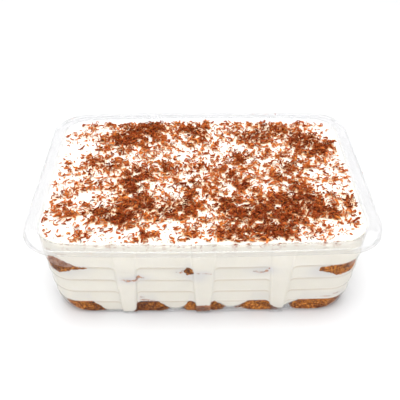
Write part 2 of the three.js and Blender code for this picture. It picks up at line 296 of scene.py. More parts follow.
def beside_rib(along, ribs, half_width):
    """How far places along a side lie beside the nearest rib."""
    return np.min([abs(along - rib) for rib in ribs], axis=0) - half_width


def bow_at(height):
    return np.interp(height, [0, BOX_HEIGHT - LIP_DROP], [BASE_BOW, LONG_SIDE_BOW])


def corner_radius(inset, height):
    growth = FOOT_CORNER_GROWTH * np.maximum(0, FOOT_CORNER_TOP - height)
    return LIP_CORNER_RADIUS - CORNER_TIGHTENING * np.minimum(inset, TIGHTENING_ENDS) + growth


def outline(inset, offset, height):
    """One line round the box, anticlockwise from above. inset is how far the outer face of the
    wall lies in from the lip, and offset how far the line lies inside that face."""
    half_width = BOX_WIDTH / 2 - inset - offset
    half_depth = BOX_DEPTH / 2 - inset - offset
    radius = corner_radius(inset, height) - offset
    rib_half = rib_half_width(height) - offset / 2
    stand = max(0, inset - rib_inset(height))
    fade = smooth((height - FOOT_HEIGHT) / DROP_GROWTH) * smooth((DROP_END - height) / DROP_FADE)

    def side(ribs, end):
        along = side_stations(ribs, end, rib_half)
        beside = beside_rib(along, ribs, rib_half)
        out = stand * smooth(1 - beside / RIB_FLANK)
        past = np.clip((beside - RIB_FLANK) / PANEL_CORNER, 0, 1)
        return along, out, PANEL_DROP * (1 - past) ** 2

    turn = np.linspace(0, math.pi / 2, CORNER_STEPS, endpoint=False)
    rise, run, level = radius * np.sin(turn), radius * np.cos(turn), 0 * turn
    end_x, end_y = half_width - radius, half_depth - radius
    along, out, drop = side(LONG_SIDE_RIBS, end_x)
    front = [along, -half_depth - out, drop]
    right_front = [end_x + rise, -end_y - run, level]
    along, out, drop = side(SHORT_SIDE_RIBS, end_y)
    right = [half_width + out, along, drop]
    right_back = [end_x + run, end_y + rise, level]
    half = np.concatenate([front, right_front, right, right_back], 1).T
    x, y, drop = np.concatenate([half, half * [-1, -1, 1]]).T
    bowed = y + bow_at(height) * (y / half_depth) * (1 - (x / half_width) ** 2)
    return np.stack([x, bowed, height - drop * fade], 1)


# The outer face of the wall as [inset, height], from the foot to the flange
WALL_PROFILE = [[BASE_INSET, 0], [FOOT_INSET, FOOT_HEIGHT]]
for step_inset, step_height in zip(STEP_INSETS, STEP_HEIGHTS):
    WALL_PROFILE += [[step_inset + LEDGE, step_height - LEDGE], [step_inset, step_height]]
WALL_PROFILE.append([WALL_TOP_INSET, BOX_HEIGHT - WALL])


def wall_inset(height):
    insets, heights = np.array(WALL_PROFILE).T
    return np.interp(height, heights, insets)


def wall_sizes(height):
    """Half the width, half the depth and the corner radius of the wall's outer face."""
    inset = wall_inset(height)
    return BOX_WIDTH / 2 - inset, BOX_DEPTH / 2 - inset, corner_radius(inset, height)


def inside_wall(points):
    """How far points lie inside the outer face of the wall between the ribs."""
    x, y, z = np.asarray(points).T
    half_width, half_depth, radius = wall_sizes(z)
    bow = bow_at(z) * (1 - np.clip(x / half_width, -1, 1) ** 2)
    straight_y = np.abs(y) / (1 + bow / half_depth)
    over = np.stack([np.abs(x) - half_width + radius, straight_y - half_depth + radius])
    return radius - np.linalg.norm(np.maximum(over, 0), axis=0) - np.minimum(over.max(0), 0)


def rib_stand(x, z):
    """How far the ribs of a long side stand out of its panels."""
    beside = beside_rib(x, LONG_SIDE_RIBS, rib_half_width(z))
    return np.maximum(0, wall_inset(z) - rib_inset(z)) * smooth(1 - beside / RIB_FLANK)


def wall_face(x, z):
    """How far from the middle of the box the outer face of a long side lies."""
    half_width, half_depth, radius = wall_sizes(z)
    into_corner = np.clip(np.abs(x) - half_width + radius, 0, radius * CORNER_REACH)
    straight = half_depth - radius + np.sqrt(radius ** 2 - into_corner ** 2) + rib_stand(x, z)
    return straight * (1 + bow_at(z) / half_depth * (1 - np.clip(x / half_width, -1, 1) ** 2))


# ---- Materials ----
# Colours along a value, as (place, (red, green, blue))
CREAM_CLOUDS = [(0.3, (0.87, 0.83, 0.735)), (0.7, (0.905, 0.87, 0.78))]
# Painted highlight on the lower edge of each band of the wall, and painted shade under its ledge
LEDGE_HIGHLIGHT_AND_SHADE = [(0, (0.80, 0.74, 0.66)), (0.5, (0.93, 0.93, 0.93)), (1, (1, 1, 1.02))]
# Dust and painted shade on the cream under the shavings, darkest brown where they lie thickest
DUST_AND_SHADE = [
    (0.15, (1, 1, 1)), (0.48, (0.98, 0.78, 0.56)), (0.8, (0.6, 0.22, 0.08)), (1, (0.16, 0.035, 0.01)),
]
SMEAR_AND_SHADE_EDGE = [(0.75, (0, 0, 0)), (1, (0.9, 0.9, 0.9))]
# The smears' brown, which also paints shade on the cream's underside
STAIN_AND_SHADE = [(0.42, (0.26, 0.13, 0.1)), (0.54, (0.5, 0.2, 0.07))]
CRUMB = [
    (0.37, (0.05, 0.012, 0.003)), (0.46, (0.23, 0.065, 0.009)), (0.54, (0.48, 0.17, 0.02)),
    (0.66, (0.9, 0.46, 0.1)),
]
WETNESS = [(0.3, (0.34, 0.24, 0.3)), (0.5, (1.15, 1.05, 1))]
FILM = [(0.38, (0.2, 0.085, 0.05)), (0.58, (0.44, 0.29, 0.24))]
# Chocolate colours along the tone, which also carries painted shade in thick heaps and a painted glow
# at thin edges
CHOCOLATE = [
    (0, (0.08, 0.01, 0.003)), (0.4, (0.27, 0.05, 0.015)), (0.7, (0.45, 0.108, 0.03)),
    (1, (0.74, 0.26, 0.065)),
]
CHOCOLATE_MOTTLE = [(0.3, (0.75, 0.72, 0.7)), (0.7, (1.15, 1.12, 1.1))]
FLOOR = [(0.3, (0.63, 0.63, 0.635)), (0.7, (0.64, 0.64, 0.645))]
SHEET_TINT = (0.97, 0.97, 0.975)
SLANTED_SHEET = [(0.5, SHEET_TINT), (0.9, (0.7, 0.7, 0.72))]
# Where the painted highlight on the lip's bend shows: where that bend faces the viewer
SEEN_AHEAD = [(0.12, (1, 1, 1)), (0.35, (0, 0, 0))]


def new_material(name):
    material = bpy.data.materials.new(name)
    material.use_nodes = True
    tree = material.node_tree
    return material, tree, tree.nodes["Principled BSDF"]


def fill(tree, socket, value):
    """Gives an input a link, a colour or a number."""
    if isinstance(value, bpy.types.NodeSocket):
        tree.links.new(value, socket)
    else:
        socket.default_value = (*value, 1) if socket.type == "RGBA" else value


def set_inputs(tree, node, values):
    for name, value in values.items():
        fill(tree, node.inputs[name], value)
    return node


def noise_of(tree, scale, detail=3.0, roughness=0.55):
    """A noise texture in the piece's own coordinates; scale is in waves for each metre."""
    texture = tree.nodes.new("ShaderNodeTexNoise")
    place = tree.nodes.new("ShaderNodeTexCoord").outputs["Object"]
    values = {"Vector": place, "Scale": scale, "Detail": detail, "Roughness": roughness}
    return set_inputs(tree, texture, values).outputs["Fac"]


def ramp_of(tree, factor, stops):
    """Colours along a factor, as [(place, (r, g, b)), ...]."""
    ramp = tree.nodes.new("ShaderNodeValToRGB")
    while len(ramp.color_ramp.elements) < len(stops):
        ramp.color_ramp.elements.new(1)
    for element, (place, colour) in zip(ramp.color_ramp.elements, stops):
        element.position = place
        element.color = (*colour, 1)
    tree.links.new(factor, ramp.inputs["Fac"])
    return ramp.outputs["Color"]


def mottled(tree, scale, detail, stops, roughness=0.55):
    """Colours along a noise texture."""
    return ramp_of(tree, noise_of(tree, scale, detail, roughness), stops)


def mix_of(tree, factor, first, second, kind="MIX"):
    mix = tree.nodes.new("ShaderNodeMix")
    mix.data_type = "RGBA"
    mix.blend_type = kind
    sockets = [mix.inputs["Factor"], *(i for i in mix.inputs if i.type == "RGBA")]
    for socket, value in zip(sockets, (factor, first, second)):
        fill(tree, socket, value)
    return next(o for o in mix.outputs if o.type == "RGBA")


def math_of(tree, operation, *values):
    node = tree.nodes.new("ShaderNodeMath")
    node.operation = operation
    for socket, value in zip(node.inputs, values):
        fill(tree, socket, value)
    return node.outputs["Value"]


def attribute_of(tree, name):
    node = tree.nodes.new("ShaderNodeAttribute")
    node.attribute_name = name
    return node.outputs["Fac"]


def bump_of(tree, height, distance):
    """Fine unevenness of the surface, this many millimetres deep."""
    bump = tree.nodes.new("ShaderNodeBump")
    values = {"Height": height, "Distance": distance * MM}
    return set_inputs(tree, bump, values).outputs["Normal"]


def clear_plastic():
    """Clear, glossy sheet that lets the light through. It is greyer at the rim and where it is
    seen at a slant, and has a painted highlight, whiter and less clear, on the bend of the lip where
    that is seen from straight ahead."""
    material, tree, shader = new_material("clear_plastic")
    weight = tree.nodes.new("ShaderNodeLayerWeight")
    slant = set_inputs(tree, weight, {"Blend": 0.5}).outputs["Facing"]
    tint = ramp_of(tree, slant, SLANTED_SHEET)
    rim = mix_of(tree, attribute_of(tree, "rim"), tint, (0.76, 0.76, 0.78))
    # Painted highlight along the lip's bend, where it faces the viewer
    glint = math_of(tree, "MULTIPLY", attribute_of(tree, "glint"), ramp_of(tree, slant, SEEN_AHEAD))
    rough = tree.nodes.new("ShaderNodeMapRange")
    set_inputs(tree, rough, {"Value": noise_of(tree, 900), "To Min": 0.015, "To Max": 0.05})
    set_inputs(tree, shader, {
        "Base Color": mix_of(tree, glint, rim, (0.95, 0.95, 0.96)),
        "Transmission Weight": math_of(tree, "SUBTRACT", 1.0, glint),
        "Roughness": rough.outputs["Result"],
        "Normal": bump_of(tree, noise_of(tree, 60, 1), 0.02),
        "IOR": 1.3, "Specular IOR Level": 1, "Alpha": 0.42,
    })
    lets_through = tree.nodes.new("ShaderNodeBsdfTransparent")
    set_inputs(tree, lets_through, {"Color": SHEET_TINT})
    path = tree.nodes.new("ShaderNodeLightPath")
    mix = tree.nodes.new("ShaderNodeMixShader")
    sources = [path.outputs["Is Shadow Ray"], shader.outputs["BSDF"], lets_through.outputs["BSDF"]]
    for source, socket in zip(sources, mix.inputs):
        fill(tree, socket, source)
    fill(tree, tree.nodes["Material Output"].inputs["Surface"], mix.outputs["Shader"])
    return material


def cream_material():
    """Whipped cream: warm white, greyer and browner where the coffee of the fingers soaks in,
    browner under the shavings with dust and painted shade, with painted shade on its underside in
    the brown of the smears, and a painted highlight line and a painted shade line at each ledge of
    the wall."""
    material, tree, shader = new_material("cream")
    # The ledge attribute carries a painted highlight at each ledge's edge and painted shade beneath it
    ledge_light_colour = ramp_of(tree, attribute_of(tree, "ledge"), LEDGE_HIGHLIGHT_AND_SHADE)
    ledge_lit_cream = mix_of(tree, 1.0, mottled(tree, 70, 4, CREAM_CLOUDS), ledge_light_colour, "MULTIPLY")
    dust_and_shade = ramp_of(tree, attribute_of(tree, "dust_and_shade"), DUST_AND_SHADE)
    dusty_and_shaded = mix_of(tree, 1.0, ledge_lit_cream, dust_and_shade, "MULTIPLY")
    hazy = mix_of(tree, attribute_of(tree, "haze"), dusty_and_shaded, (0.7, 0.68, 0.66))
    grain = noise_of(tree, 1100, 5, 0.7)
    ragged = math_of(tree, "MULTIPLY_ADD", grain, 1.1, attribute_of(tree, "smear_and_shade"))
    smear_and_shade = ramp_of(tree, ragged, SMEAR_AND_SHADE_EDGE)
    set_inputs(tree, shader, {
        "Base Color": mix_of(tree, smear_and_shade, hazy, mottled(tree, 600, 3, STAIN_AND_SHADE)),
        "Normal": bump_of(tree, noise_of(tree, 500, 4), 0.12), "Roughness": 0.5,
        "Subsurface Weight": 0.25, "Subsurface Radius": (1, 0.9, 0.7), "Subsurface Scale": 1.2 * MM,
    })
    return material


def sponge_material():
    """Soaked sponge: orange-brown crumb with dark wet spots, greyer under a veil of cream."""
    material, tree, shader = new_material("sponge")
    crumb = mottled(tree, 760, 6, CRUMB, 0.75)
    drier = math_of(tree, "SUBTRACT", noise_of(tree, 120, 3), attribute_of(tree, "soak"))
    wet = mix_of(tree, 1.0, crumb, ramp_of(tree, drier, WETNESS), "MULTIPLY")
    set_inputs(tree, shader, {
        "Base Color": mix_of(tree, attribute_of(tree, "veil"), wet, mottled(tree, 420, 5, FILM, 0.7)),
        "Normal": bump_of(tree, noise_of(tree, 800, 5, 0.7), 0.35),
        "Roughness": 0.6, "Specular IOR Level": 0.2,
    })
    return material


def chocolate_material():
    """Milk chocolate, which the curls' own shade darkens inside, with painted shade low in thick
    heaps and a painted glow of light through thin edges that makes them paler.
    """
    material, tree, shader = new_material("chocolate")
    tone = ramp_of(tree, attribute_of(tree, "tone"), CHOCOLATE)
    mottle = mottled(tree, 1200, 3, CHOCOLATE_MOTTLE)
    set_inputs(tree, shader, {
        "Base Color": mix_of(tree, 1.0, tone, mottle, "MULTIPLY"),
        "Normal": bump_of(tree, noise_of(tree, 2500, 3), 0.06),
        "Roughness": 0.5, "Specular IOR Level": 0,
        "Subsurface Weight": 0.5, "Subsurface Radius": (1, 0.42, 0.12), "Subsurface Scale": 0.5 * MM,
    })
    return material


def floor_material():
    """Plain pale grey, which the light brings up to white."""
    material, tree, shader = new_material("floor")
    set_inputs(tree, shader, {"Base Color": mottled(tree, 4, 2, FLOOR), "Roughness": 0.7})
    return material


# ---- The clear box ----
RIM_BAND = 1.9  # how far in from the lip's edge the plastic is greyer,
RIM_FADE = 0.6  # and over how much of that it fades
GLINT_INSET = 0.7  # where on the bend of the lip the painted highlight line runs
GLINT_HALF = 0.22
GLINT_DEPTH = 0.6  # how far below the flange's top it may lie
GLINT_STRENGTH = 0.6
ROWS_BELOW_FLANGE = 4  # rows at the start of the rim that the foot's rows stand for already


def lip_tones(rows):
    """How grey the plastic is on each row of the box, and how strong the painted highlight on it is.
    """
    insets, offsets, heights = np.array(rows, float).T
    inward = insets + offsets
    glint = GLINT_STRENGTH * bell((inward - GLINT_INSET) / GLINT_HALF)
    return {
        "rim": smooth((RIM_BAND - inward) / RIM_FADE),
        "glint": glint * (heights > BOX_HEIGHT - GLINT_DEPTH),
    }


def build_container():
    """The box as rows of [inset, offset, height] from the foot over the lip to the floor inside."""
    outside = [[inset, 0, height] for inset, height in WALL_PROFILE]
    underside, top = BOX_HEIGHT - WALL, BOX_HEIGHT
    lip = [
        [1.6, 0, underside], [1, 0, underside - WALL], [WALL, 0, top - LIP_DROP],
        [0, 0, top - LIP_DROP], [0.3, 0, top - 1.2], [0.55, 0, top - 0.35], [0.9, 0, top - 0.1],
        [1.6, 0, top],
    ]
    mouth = [[WALL_TOP_INSET, WALL - MOUTH_ROUND, top], [WALL_TOP_INSET, WALL, top - MOUTH_ROUND]]
    inside = [[inset, WALL, height + INNER_STEP_RISE] for inset, height in WALL_PROFILE[1:-1]]
    floor = [[BASE_INSET, WALL, WALL]]
    foot = rounded(outside, LEDGE_ROUND)
    rim = rounded([*outside[-2:], *lip, mouth[0]], LIP_ROUND)[ROWS_BELOW_FLANGE:]
    well = rounded([*mouth, *inside[::-1], *floor], LEDGE_ROUND)
    rows = [*foot[:-1], *rim[:-1], *well]
    points, faces = loft([outline(*row) for row in rows])
    around = len(points) // len(rows)
    values = {name: np.repeat(tones, around) for name, tones in lip_tones(rows).items()}
    material = clear_plastic()
    make_piece("clear_box", points, faces, material, ["container"], values=values)


# ---- The cream ----
SIDE_STEP = 0.6
LEDGE_ROWS = [-1.5, -1.0, -0.6, -0.25, 0.0, 0.3, 0.6]  # extra rows of the mesh round each ledge
FOOT_CURVE = [[5.5, 1.0], [2.6, 0.0], [1.5, 0.1], [0.9, 0.45], [0.3, 1.0]]  # [further in, higher]
SIDE_FOOT = 1.0  # a row of the side at this height comes
FOOT_HOLD = 1.4  # this far above the cream's lower edge
FIRST_ROW = 2.0  # the rows of the side start above this height
EDGE_CURVE = [0.3, 0.7, 1.2, 1.8, 2.5, 3.3, 4.2, 5.4]  # rows from the wall in over the top,
TOP_START = 7.0  # and then one for each mm from here on,
TOP_MIDDLE = 2.0  # as far as this from the middle
UNDER_TOP = 0.25  # how far under its highest level the top lies on the whole
EDGE_LIFT = 0.3
SHORT_SIDE_FROM = 38.0  # the lower edge is the even one of the short sides up to here,
SHORT_SIDE_FADE = 8.0  # and the long sides' own line after this much more
# Long low waves on the top and along its edge, as (waves along x, along y, shift, height)
TOP_WAVES = [
    (0.11, 0.05, 0.3, 0.22), (-0.07, 0.13, 1.9, 0.18), (0.21, -0.17, 4.1, 0.1), (0.05, 0.3, 2.2, 0.07),
]
EDGE_WAVES = [(0.17, 0, 0.9, 0.2), (0.41, -0.23, 0, 0.12)]
NO_LEDGE = 0.5  # the tone of the cream away from the ledges, with no painted highlight or shade
NO_ROW = 0  # the height that rings off the side have for a row, far from any ledge
# A painted highlight line at each ledge and a painted shade line beneath it, as (height above
# it, half height, tone)
LEDGE_HIGHLIGHT_AND_SHADE_LINES = [(0.2, 0.4, 0.5), (-1.0, 0.6, -0.45)]
LONG_SIDE_BAND = 25.0  # how far in from the lip a point counts as one of a long side


def waves_at(x, y, waves):
    return sum(size * np.sin(a * x + b * y + shift) for a, b, shift, size in waves)


def front_rise(y):
    """How much higher the cream stands along the front wall."""
    return FRONT_RISE * smooth((-y - FRONT_RISE_START) / FRONT_RISE_REACH)


def top_height(x, y):
    """The cream's top, gently uneven."""
    return CREAM_TOP - UNDER_TOP + waves_at(x, y, TOP_WAVES) + front_rise(y)


def edge_height(x, y):
    """The line along the wall that the cream reaches up to."""
    return CREAM_EDGE + EDGE_LIFT + waves_at(x, y, EDGE_WAVES) + front_rise(y)


def foot_height(points):
    """The lower edge of the cream at points of the wall."""
    x, y = points[:, 0], points[:, 1]
    along, heights = np.array(FOOT_LINE).T
    long_side = np.interp(x, along, heights)
    short_side = CREAM_FOOT + 0.2 * np.sin(0.5 * y)
    turn = smooth((np.abs(y) - SHORT_SIDE_FROM) / SHORT_SIDE_FADE)
    return long_side * turn + short_side * (1 - turn)


def cream_rows():
    """The heights of the mesh's rows, close together at the ledges."""
    ledges = [step + away for step in STEP_HEIGHTS for away in LEDGE_ROWS]
    heights = np.arange(SIDE_STEP, CREAM_EDGE, SIDE_STEP)
    clear = [h for h in heights if min(abs(h - ledge) for ledge in ledges) > SIDE_STEP * 0.45]
    above_edge = CREAM_EDGE + FRONT_RISE + 2 * EDGE_LIFT
    return np.unique([*clear, *ledges, CREAM_SPLIT, above_edge])


def side_sheet(rows, press):
    """The food's side, as rows x points, press inside the outer face of the wall."""
    return np.array([outline(wall_inset(height), press, height) for height in rows])


def at_heights(sheet, rows, heights):
    """One ring of the sheet, with a height of its own for each of its points."""
    column = np.arange(sheet.shape[1])
    place = np.interp(heights, rows, np.arange(len(rows)))
    low = np.minimum(place.astype(int), len(rows) - 2)
    share = (place - low)[:, None]
    return sheet[low, column] * (1 - share) + sheet[low + 1, column] * share


def ledge_highlight_and_shade(height):
    """Over half, a painted highlight, on the edge of each band of the wall; under half, painted shade,
    just beneath it.
    """
    tone = NO_LEDGE
    for step in STEP_HEIGHTS:
        tone += sum(size * bell((height - step - up) / half) for up, half, size in LEDGE_HIGHLIGHT_AND_SHADE_LINES)
    return min(max(tone, 0), 1)


def on_panels(points):
    """1 on the panels of the wall, 0 on the ribs."""
    x, y, z = points.T
    half = rib_half_width(z) + RIB_FLANK
    on_long_side = np.abs(y) > BOX_DEPTH / 2 - LONG_SIDE_BAND
    sides = [beside_rib(x, LONG_SIDE_RIBS, half), beside_rib(y, SHORT_SIDE_RIBS, half)]
    return smooth(np.where(on_long_side, *sides) + 0.5)


# A ring of the cream is given as (height of its row, points)
def flat_inside(ring, height):
    """A smaller flat ring that closes the mesh inside a ring that isn't flat."""
    return NO_ROW, np.column_stack([ring[1][:, :2] * 0.9, np.full(len(ring[1]), height)])


def foot_rings(rows, base):
    """Rings from further in, down to the cream's lower edge and out towards the wall."""
    rings = []
    for further, higher in FOOT_CURVE:
        sheet = side_sheet(rows, CREAM_PRESS + further)
        rings.append((NO_ROW, at_heights(sheet, rows, base + higher)))
    return rings


def side_rings(rows, sheet, base):
    """Rings up the cream's side, in the foot band drawn to its lower edge."""
    rings = []
    for height in rows[rows > FIRST_ROW]:
        share = np.clip((height - SIDE_FOOT) / (FOOT_BAND - SIDE_FOOT), 0, 1)
        drawn = (base + FOOT_HOLD) * (1 - share) + FOOT_BAND * share
        heights = np.where(share < 1, drawn, height)
        rings.append((height, at_heights(sheet, rows, heights)))
    return rings


def top_rings(edge):
    """Rings from the cream's upper edge in over the top."""
    rings = [(NO_ROW, edge)]
    reach = np.linalg.norm(edge[:, :2], axis=1).min()
    for away in [*EDGE_CURVE, *np.arange(TOP_START, reach - TOP_MIDDLE)]:
        ring = edge * [1 - away / reach, 1 - away / reach, 1]
        slope = smooth(away / CREAM_EDGE_SLOPE)
        ring[:, 2] = edge[:, 2] + slope * (top_height(ring[:, 0], ring[:, 1]) - edge[:, 2])
        rings.append((NO_ROW, ring))
    return rings


def build_cream(pile):
    """Both layers, each a closed mesh from its lowest ring to its highest."""
    rows = cream_rows()
    sheet = side_sheet(rows, CREAM_PRESS)
    base = foot_height(sheet[0])
    edge = at_heights(sheet, rows, edge_height(sheet[-1, :, 0], sheet[-1, :, 1]))
    foot, side = foot_rings(rows, base), side_rings(rows, sheet, base)
    below = [ring for ring in side if ring[0] <= CREAM_SPLIT]
    above = [ring for ring in side if CREAM_SPLIT <= ring[0] < CREAM_EDGE - 0.5]
    layers = {
        "lower": [flat_inside(foot[0], FOOT_BAND), *foot, *below, flat_inside(below[-1], CREAM_SPLIT)],
        "upper": [flat_inside(above[0], CREAM_SPLIT), *above, *top_rings(edge)],
    }
    material = cream_material()
    for name, rings in layers.items():
        heights, skin = zip(*rings)
        points, faces = loft(skin)
        # Painted highlight and painted shade at each ledge, kept off the ribs
        tones = np.repeat([ledge_highlight_and_shade(height) for height in heights], len(edge))
        ledge = NO_LEDGE + (tones - NO_LEDGE) * on_panels(points)
        values = {"ledge": ledge, **soak_and_shade(points, pile)}
        node = f"cream_{name}"
        make_piece(f"cream_layer_{name}", points, faces, material, [node], 60, values)


def spots_at(spots, x, z, wider=0):
    """The sum of soft oval spots, in the form that SMEARS has."""
    return sum(
        strength * bell((x - along) / (length + wider)) * bell((z - up) / (height + wider))
        for along, up, length, height, strength in spots
    )


def soak_and_shade(points, pile):
    """How hazy and how smeared the cream's side is at each point, with painted shade on its underside,
    and how dusty and shaded its top.
    """
    x, y, z = points.T
    at_side = smooth((np.abs(y) - wall_face(x, z) + 4) / 2)
    haze = spots_at(HAZES, x, z) + HALO_STRENGTH * spots_at(SMEARS, x, z, HALO)
    for finger in PATCHES:
        outside = np.clip(patch_field(finger, x, z), -12, 0)
        haze = haze + PATCH_HAZE * np.exp(outside / PATCH_HAZE_REACH)
    inward = inside_wall(points) + rib_stand(x, z) * at_side - CREAM_PRESS
    # Painted shade on the underside of the cream, carried with the smears
    underside = smooth(inward / UNDERSIDE_FROM - 1) * (z < FOOT_BAND)
    smear_and_shade = spots_at(SMEARS, x, z) + UNDERSIDE_SHADE * underside
    # Dust and painted shade on the top, under the shavings
    on_top = smooth(inward / DUST_AND_SHADE_FROM - 1) * (z > CREAM_EDGE - 1)
    return {
        "haze": np.clip(haze, 0, MOST_HAZE) * at_side,
        "smear_and_shade": SMEAR_AND_SHADE_STRENGTH * np.clip(smear_and_shade, 0, 1) * np.maximum(at_side, z < FOOT_BAND),
        "dust_and_shade": pile.dust_and_shade(x, y) * on_top,
    }


# ---- The sponge fingers ----
FINGERS = [f"{layer}_{i + 1}" for layer in ("lower", "upper") for i in range(5)]
EDGE_HEIGHT = 2.0
EDGE_ROUND = 1.2
SHOULDER = 0.6  # under 1, the section is fuller than half an ellipse
DOME_POINTS, SECTION_POINTS = 60, 116
CAP_RINGS = 27
BODY_RINGS = 6
END_FALL = 9.0  # how far the rim of an end falls back from its middle,
END_ROUND = 26  # and how close to the rim that starts, as a power
FLOOR_PRESS = 0.75  # how far a finger reaches into the floor of the box
HIDDEN_DEPTH = 2.2  # how far behind the wall an end stays that doesn't show
PATCH_SLOPE = 0.35  # how fast the crumb comes up to the wall across the edge of a patch,
PATCH_DEEPEST = 1.6  # and how far under the cream's surface it starts
RAGGED = [(0.8, 3.1), (0.5, 1.3), (0.3, 0.6)]  # lumps in the edge of a patch, as (strength, size)
PORE_SIZE, PORE_LEVEL, PORE_DEPTH = 1.1, 0.42, 1.2
GRAIN_SIZE, GRAIN_DEPTH = 0.8, 0.05
# How much wetter, and so darker, some fingers are than others
SOAK = {
    "lower_1": 0.06, "lower_2": 0.2, "lower_3": 0.1, "lower_4": 0.1, "upper_1": 0.1, "upper_3": 0.2,
    "upper_5": -0.06,
}
# How thickly a film of cream covers the ends of some, at places along and up the wall
VEILS = {
    "upper_1": lambda x, z: 0.8 * smooth((z - STEP_HEIGHTS[-1] + 0.3) / 0.6),
    "upper_5": lambda x, z: 0.7 * smooth((x - 68) / 5) * smooth((z - 31.5) / 2.5),
    "lower_3": lambda x, z: 0.4 * smooth((4.2 - np.abs(x)) / 0.8),
    "lower_4": lambda x, z: 0.6 * smooth((x - 34.5) / 1.5),
}


def patch_field(finger, x, z):
    """How far inside the patch that the finger shows at the wall, in mm; negative outside."""
    along, lowest, highest = np.array(PATCHES[finger], float).T
    field = np.minimum(z - np.interp(x, along, lowest), np.interp(x, along, highest) - z)
    return field - 1.5 * np.maximum(0, np.maximum(along[0] - x, x - along[-1]))


def finger_section(node):
    """The middle of a finger's section, and the section's outline round it as [x, z] points."""
    low, high = corners_of(node)
    x, half = (low[0] + high[0]) / 2, (high[0] - low[0]) / 2
    base = low[2] - FLOOR_PRESS
    edge = base + EDGE_HEIGHT
    angle = np.linspace(-math.pi / 2, math.pi / 2, DOME_POINTS)
    across = np.sign(angle) * np.abs(np.sin(angle)) ** SHOULDER
    dome = np.stack([x + half * across, edge + (high[2] - edge) * np.cos(angle) ** SHOULDER], 1)
    foot = half - EDGE_ROUND
    ring = np.concatenate([dome, [[x + foot, base], [x - foot, base]]])
    steps = np.linalg.norm(ring - np.roll(ring, -1, 0), axis=1)
    along = np.concatenate([[0], np.cumsum(steps)])
    places = np.linspace(0, along[-1], SECTION_POINTS, endpoint=False)
    closed = np.concatenate([ring, ring[:1]])
    even = np.stack([np.interp(places, along, closed[:, i]) for i in (0, 1)], 1)
    return np.array([x, base + 0.45 * (high[2] - base)]), even


def patch_depth(finger, x, z, side):
    """How far behind the wall's outer face the crumb lies, with ragged edges and pores."""
    points = np.stack([x, np.full(len(x), side * 50), z], 1)
    field = patch_field(finger, x, z) + sum(size * wobble(points, lump) for size, lump in RAGGED)
    pores = np.maximum(0, wobble(points, PORE_SIZE, 7.3) - PORE_LEVEL) * PORE_DEPTH
    rise = np.clip(PATCH_SLOPE * field, -PATCH_DEEPEST, CREAM_PRESS - SPONGE_PRESS)
    depth = CREAM_PRESS - rise + pores + GRAIN_DEPTH * wobble(points, GRAIN_SIZE, 3.1)
    return np.maximum(depth, SPONGE_PRESS)


def finger_end(finger, places, share, side):
    """How far from the middle of the box the end of a finger lies at [x, z] places."""
    x, z = places.T
    lower = "lower" in finger
    cap = STEP_HEIGHTS[0 if lower else -1] - LEDGE
    capped = lower or finger in LAST_LEDGE_CAPS
    face = wall_face(x, np.minimum(z, cap) if capped else z)
    depth = patch_depth(finger, x, z, side) if finger in PATCHES else HIDDEN_DEPTH
    return face - depth - END_FALL * (1 - np.sqrt(1 - share ** END_ROUND))


def build_fingers():
    material = sponge_material()
    for finger in FINGERS:
        node = f"ladyfinger_{finger}"
        middle, section = finger_section(node)
        ends = {}
        for side in (-1, 1):
            ends[side] = []
            for share in np.linspace(0.015, 1, CAP_RINGS):
                places = middle + (section - middle) * share
                y = side * finger_end(finger, places, share, side)
                ends[side].append(np.stack([places[:, 0], y, places[:, 1]], 1))
        outer, inner = ends[-1][-1], ends[1][-1]
        body = [outer + (inner - outer) * t for t in np.linspace(0, 1, BODY_RINGS)[1:-1]]
        points, faces = loft([*ends[-1], *body, *ends[1][::-1]])
        film = VEILS[finger](points[:, 0], points[:, 2]) if finger in VEILS else 0
        tones = {"veil": film, "soak": SOAK.get(finger, 0)}
        values = {name: np.full(len(points), tone) for name, tone in tones.items()}
        make_piece(f"sponge_{node}", points, faces, material, [node], 50, values)


# ---- The shavings ----
SEED = 20417
# Where they lie thick, as (x, y, spread, weight), and where the cream is bare
DRIFTS = [
    (-38, 41, 9, 0.9), (-46, 32, 8, 0.7), (-27, 49, 8, 0.7), (-5, 46, 8, 0.6), (29, 35, 9, 0.7),
    (41, 45, 8, 0.6), (60, 30, 10, 1.2), (69, 23, 7, 0.4), (21, 15, 7, 0.8), (48, 8, 5, 0.8),
    (-57, 13, 5, 0.6), (-48, 9, 5, 0.6), (-34, 0, 7, 0.7), (-37, -10, 6, 0.7), (-29, -22, 7, 0.8),
    (-41, -33, 9, 0.9), (-10, -26, 7, 0.8), (-18, 6, 6, 0.6), (0, 6, 7, 0.4), (15, -2, 6, 0.6),
    (22, -10, 5, 0.6), (35, -22, 8, 0.8), (51, -26, 9, 0.9), (18, -34, 6, 0.8), (38, -37, 8, 1),
    (27, -46, 6, 0.8), (-5, -45, 4, 0.5), (-56, -30, 6, 0.5), (63, -31, 6, 0.6), (13, -48, 6, 1),
    (75, -21, 5, 0.4), (-26, 30, 6, 0.4), (42, -1, 8, 0.4), (-20, -31, 6, 0.5), (49, -12, 7, 0.5),
    (-60, -8, 4, 0.4), (12, -25, 7, 0.9), (-5, -9, 7, 0.6), (-28, -49, 4, 0.6), (37, -51, 5, 0.7),
    (2, 36, 7, 0.4), (78, -26, 6, 0.6), (27, -30, 5, 0.5), (-69, -28, 6, 0.4),
]
